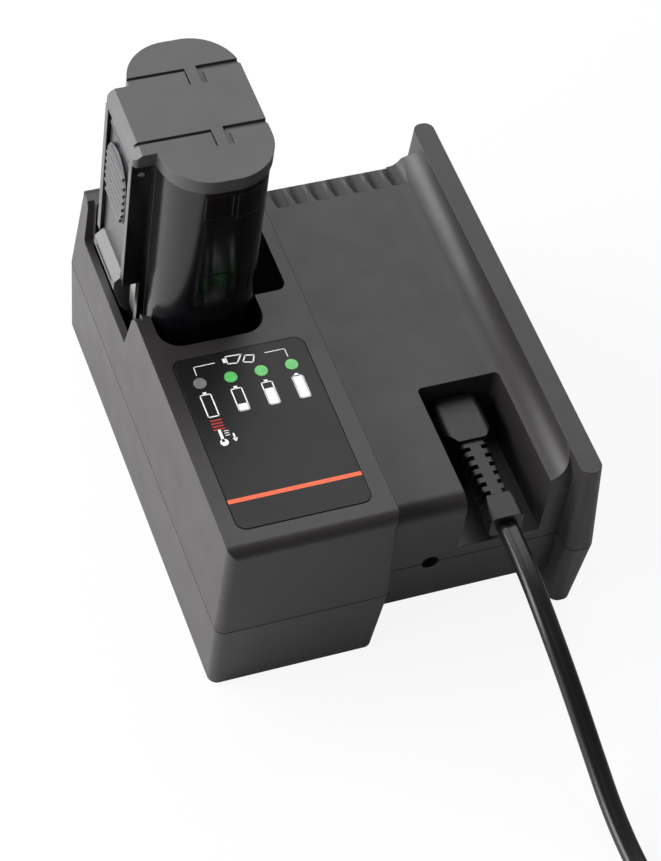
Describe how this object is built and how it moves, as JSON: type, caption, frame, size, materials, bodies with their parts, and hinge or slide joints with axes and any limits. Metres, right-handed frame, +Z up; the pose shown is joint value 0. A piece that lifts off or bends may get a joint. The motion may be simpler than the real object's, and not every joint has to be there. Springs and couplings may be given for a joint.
{
  "type": "power tool battery charger",
  "caption": "Desktop charger with a bay holding a seated battery pack, a status label, a deck with a plug recess, a raised side fin and a pull-off mains cord.",
  "frame": {"origin": "on the surface that it stands on, below the middle of the charger with its battery", "axes": "+X to the right, towards the fin; +Y to the rear, away from the cord; +Z up"},
  "size_m": [0.1655, 0.3668, 0.1315],
  "materials": {
    "housing": "fine spark-eroded satin black",
    "label": "smooth satin film",
    "green_lens": "clear green",
    "grey_lens": "cloudy grey",
    "led": "water clear",
    "board": "solder resist",
    "ferrite": "dull grey ferrite",
    "winding": "yellow tape",
    "can": "sleeved can",
    "aluminium": "extruded",
    "component": "moulded epoxy",
    "glass_fuse": "clear",
    "inlet_plastic": "moulded",
    "brass": "plated",
    "steel": "zinc plated",
    "rubber": "soft rubber",
    "battery_gloss": "glossy black",
    "battery_satin": "satin dark grey",
    "cell_wrap": "shrink sleeve",
    "nickel": "bright nickel",
    "cord_rubber": "satin black cord",
    "tie": "black strap"
  },
  "bodies": {
    "charger": {"lower_housing": "housing", "upper_housing": "housing", "label_panel": "label", "status_lenses": "green_lens", "fault_lens": "grey_lens", "status_leds": "led", "main_board": "board", "bay_board": "board", "display_board": "board", "transformer_core": "ferrite", "transformer_winding": "winding", "input_capacitor": "can", "output_capacitors": "can", "heat_sink": "aluminium", "power_transistor": "component", "fuse": "glass_fuse", "mains_inlet": "inlet_plastic", "inlet_pins": "brass", "dc_jack": "inlet_plastic", "dc_jack_pin": "brass", "housing_screws": "steel", "contact_block": "inlet_plastic", "contact_blades": "brass", "rubber_feet": "rubber"},
    "battery": {"battery_case": "battery_gloss", "battery_cap": "battery_satin", "battery_cells": "cell_wrap", "cell_straps": "nickel", "battery_contacts": "brass", "side_contact": "nickel", "latch_pin": "steel", "latch_spring": "steel", "battery_board": "board"},
    "latch": {"latch_lever": "battery_gloss"},
    "cord_set": {"cord_connector": "cord_rubber", "connector_contacts": "brass", "mains_cord": "cord_rubber", "cord_coil": "cord_rubber", "coil_ties": "tie", "mains_plug": "cord_rubber", "plug_pins": "nickel"}
  },
  "joints": [
    {"name": "battery_lift", "type": "slide", "parent": "charger", "child": "battery", "axis": [0, 0, 1], "range_m": [0, 0.052]},
    {"name": "latch_press", "type": "hinge", "parent": "battery", "child": "latch", "pos_m": [-0.05695, 0.0343, 0.1223], "axis": [0, -1, 0], "range_deg": [0, 2.2], "stiffness_Nm_per_rad": 0.4, "springref_deg": -2.86},
    {"name": "connector_pull", "type": "slide", "parent": "charger", "child": "cord_set", "axis": [0, -1, 0], "range_m": [0, 0.015]}
  ]
}
